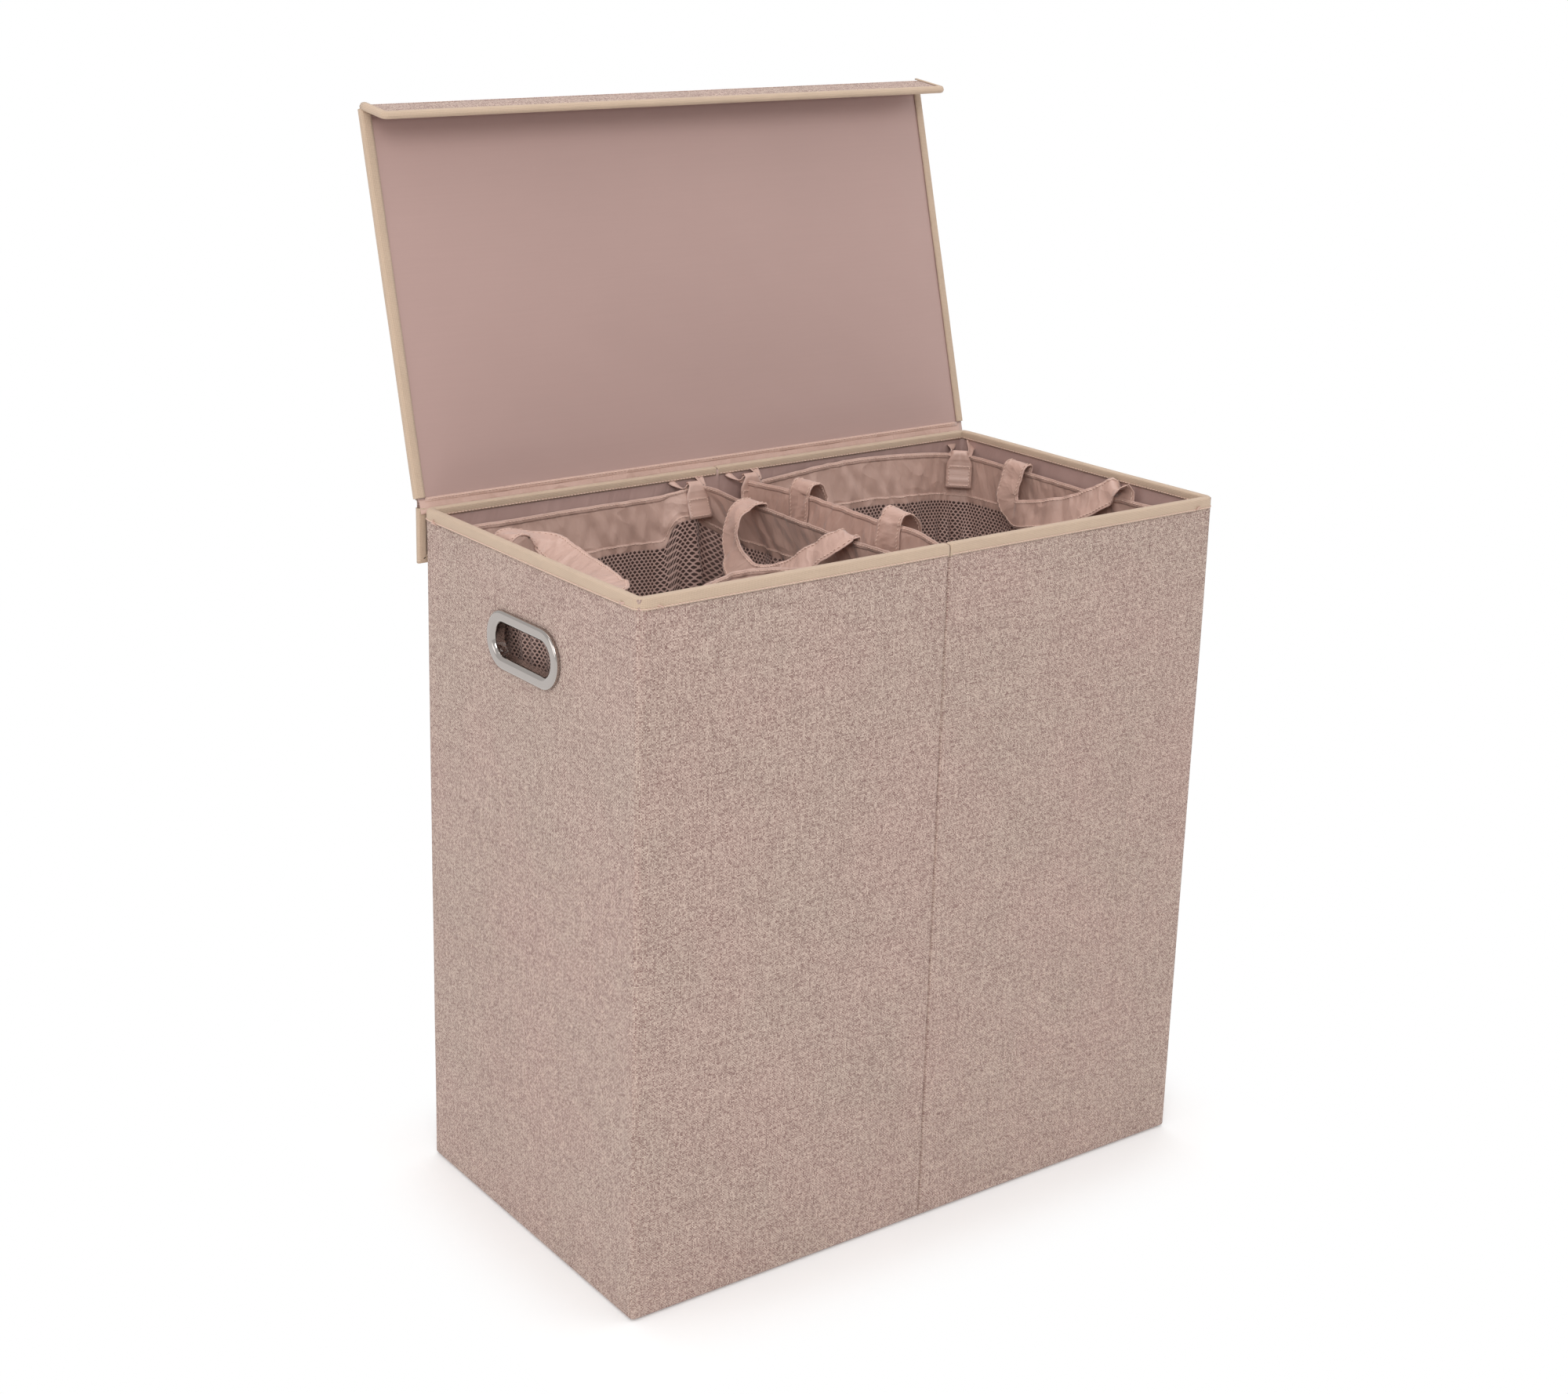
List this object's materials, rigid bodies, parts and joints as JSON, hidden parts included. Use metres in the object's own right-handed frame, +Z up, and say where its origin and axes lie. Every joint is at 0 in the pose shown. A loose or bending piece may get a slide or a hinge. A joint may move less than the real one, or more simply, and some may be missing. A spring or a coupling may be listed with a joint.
{
  "type": "laundry hamper",
  "caption": "Folding cloth-covered laundry hamper with oval end grips, a hinged lid with a front lip, and lift-out net bags hung from its rim.",
  "frame": {"origin": "centre of the flat underside, on the floor", "axes": "+X along the hamper to its right, -Y to its front, +Z up; lid open at rest, leaning back 15 degrees past upright"},
  "size_m": [0.6226, 0.4303, 0.9582],
  "materials": {
    "linen": "coarse slub weave of pale and rosy brown threads, matt",
    "board": "plain grey-brown board, inside the cloth",
    "lining": "smooth thin lining with a soft sheen",
    "tape": "twill binding tape, matt",
    "chrome": "polished plated steel",
    "fastener": "hook-and-loop tape",
    "net": "knitted net with six-sided holes",
    "polyester": "thin woven polyester with a satin sheen"
  },
  "bodies": {
    "box": {"outer_cover": "linen", "lining": "lining", "base_cloth": "lining", "base_board": "lining", "board_left": "board", "board_right": "board", "board_front_left": "board", "board_front_right": "board", "board_back_left": "board", "board_back_right": "board", "rim_binding_left": "tape", "rim_binding_right": "tape", "grip_ring_left": "chrome", "grip_back_ring_left": "chrome", "grip_ring_right": "chrome", "grip_back_ring_right": "chrome", "hook_tape": "fastener", "loop_tape": "fastener", "strip_board": "board", "strip_cover": "linen", "strip_binding": "tape", "ribbon_left_front_inner": "polyester", "ribbon_left_back_inner": "polyester", "ribbon_left_front_outer": "polyester", "ribbon_left_back_outer": "polyester", "ribbon_right_front_inner": "polyester", "ribbon_right_back_inner": "polyester", "ribbon_right_front_outer": "polyester", "ribbon_right_back_outer": "polyester"},
    "lid": {"lid_board": "board", "lid_cover": "linen", "lid_lining": "lining", "lid_hem": "polyester", "lid_binding_left": "tape", "lid_binding_right": "tape"},
    "lip": {"lip_board": "board", "lip_cover": "linen", "lip_lining": "lining", "lip_binding": "tape"},
    "bag_left": {"bag_band_left": "polyester", "bag_net_left": "net"},
    "strap_left_inner": {"strap_left_inner": "polyester"},
    "strap_left_outer": {"strap_left_outer": "polyester"},
    "tab_left_front_inner": {"tab_left_front_inner": "polyester"},
    "tab_left_back_inner": {"tab_left_back_inner": "polyester"},
    "tab_left_front_outer": {"tab_left_front_outer": "polyester"},
    "tab_left_back_outer": {"tab_left_back_outer": "polyester"},
    "bag_right": {"bag_band_right": "polyester", "bag_net_right": "net"},
    "strap_right_inner": {"strap_right_inner": "polyester"},
    "strap_right_outer": {"strap_right_outer": "polyester"},
    "tab_right_front_inner": {"tab_right_front_inner": "polyester"},
    "tab_right_back_inner": {"tab_right_back_inner": "polyester"},
    "tab_right_front_outer": {"tab_right_front_outer": "polyester"},
    "tab_right_back_outer": {"tab_right_back_outer": "polyester"}
  },
  "joints": [
    {"name": "lid_hinge", "type": "hinge", "parent": "box", "child": "lid", "pos_m": [0, 0.173, 0.6232], "axis": [-1, 0, 0], "range_deg": [-105, 0]},
    {"name": "lip_fold", "type": "hinge", "parent": "lid", "child": "lip", "pos_m": [0, 0.26201, 0.95538], "axis": [-1, 0, 0], "range_deg": [0, 23]},
    {"name": "bag_left_lift", "type": "slide", "parent": "box", "child": "bag_left", "axis": [0, 0, 1], "range_m": [0, 0.64], "deforming": ["ribbon_left_front_inner", "ribbon_left_back_inner", "ribbon_left_front_outer", "ribbon_left_back_outer"]},
    {"name": "strap_left_inner_lift", "type": "hinge", "parent": "bag_left", "child": "strap_left_inner", "pos_m": [-0.0125, 0, 0.6019], "axis": [0, 1, 0], "range_deg": [0, 102]},
    {"name": "strap_left_outer_lift", "type": "hinge", "parent": "bag_left", "child": "strap_left_outer", "pos_m": [-0.295, 0, 0.6019], "axis": [0, -1, 0], "range_deg": [0, 102]},
    {"name": "tab_left_front_inner_open", "type": "hinge", "parent": "bag_left", "child": "tab_left_front_inner", "pos_m": [-0.032, -0.153, 0.6018], "axis": [1, 0, 0], "range_deg": [0, 120]},
    {"name": "tab_left_back_inner_open", "type": "hinge", "parent": "bag_left", "child": "tab_left_back_inner", "pos_m": [-0.032, 0.153, 0.6018], "axis": [-1, 0, 0], "range_deg": [0, 120]},
    {"name": "tab_left_front_outer_open", "type": "hinge", "parent": "bag_left", "child": "tab_left_front_outer", "pos_m": [-0.28454, -0.14254, 0.6018], "axis": [0.7071, -0.7071, 0], "range_deg": [0, 120]},
    {"name": "tab_left_back_outer_open", "type": "hinge", "parent": "bag_left", "child": "tab_left_back_outer", "pos_m": [-0.28454, 0.14254, 0.6018], "axis": [-0.7071, -0.7071, 0], "range_deg": [0, 120]},
    {"name": "bag_right_lift", "type": "slide", "parent": "box", "child": "bag_right", "axis": [0, 0, 1], "range_m": [0, 0.64], "deforming": ["ribbon_right_front_inner", "ribbon_right_back_inner", "ribbon_right_front_outer", "ribbon_right_back_outer"]},
    {"name": "strap_right_inner_lift", "type": "hinge", "parent": "bag_right", "child": "strap_right_inner", "pos_m": [0.0125, 0, 0.6019], "axis": [0, -1, 0], "range_deg": [0, 102]},
    {"name": "strap_right_outer_lift", "type": "hinge", "parent": "bag_right", "child": "strap_right_outer", "pos_m": [0.295, 0, 0.6019], "axis": [0, 1, 0], "range_deg": [0, 102]},
    {"name": "tab_right_front_inner_open", "type": "hinge", "parent": "bag_right", "child": "tab_right_front_inner", "pos_m": [0.032, -0.153, 0.6018], "axis": [1, 0, 0], "range_deg": [0, 120]},
    {"name": "tab_right_back_inner_open", "type": "hinge", "parent": "bag_right", "child": "tab_right_back_inner", "pos_m": [0.032, 0.153, 0.6018], "axis": [-1, 0, 0], "range_deg": [0, 120]},
    {"name": "tab_right_front_outer_open", "type": "hinge", "parent": "bag_right", "child": "tab_right_front_outer", "pos_m": [0.28454, -0.14254, 0.6018], "axis": [0.7071, 0.7071, 0], "range_deg": [0, 120]},
    {"name": "tab_right_back_outer_open", "type": "hinge", "parent": "bag_right", "child": "tab_right_back_outer", "pos_m": [0.28454, 0.14254, 0.6018], "axis": [-0.7071, 0.7071, 0], "range_deg": [0, 120]}
  ],
  "couplings": [
    {"joint": "lip_fold", "follows": "lid_hinge", "ratio": -0.21905}
  ]
}
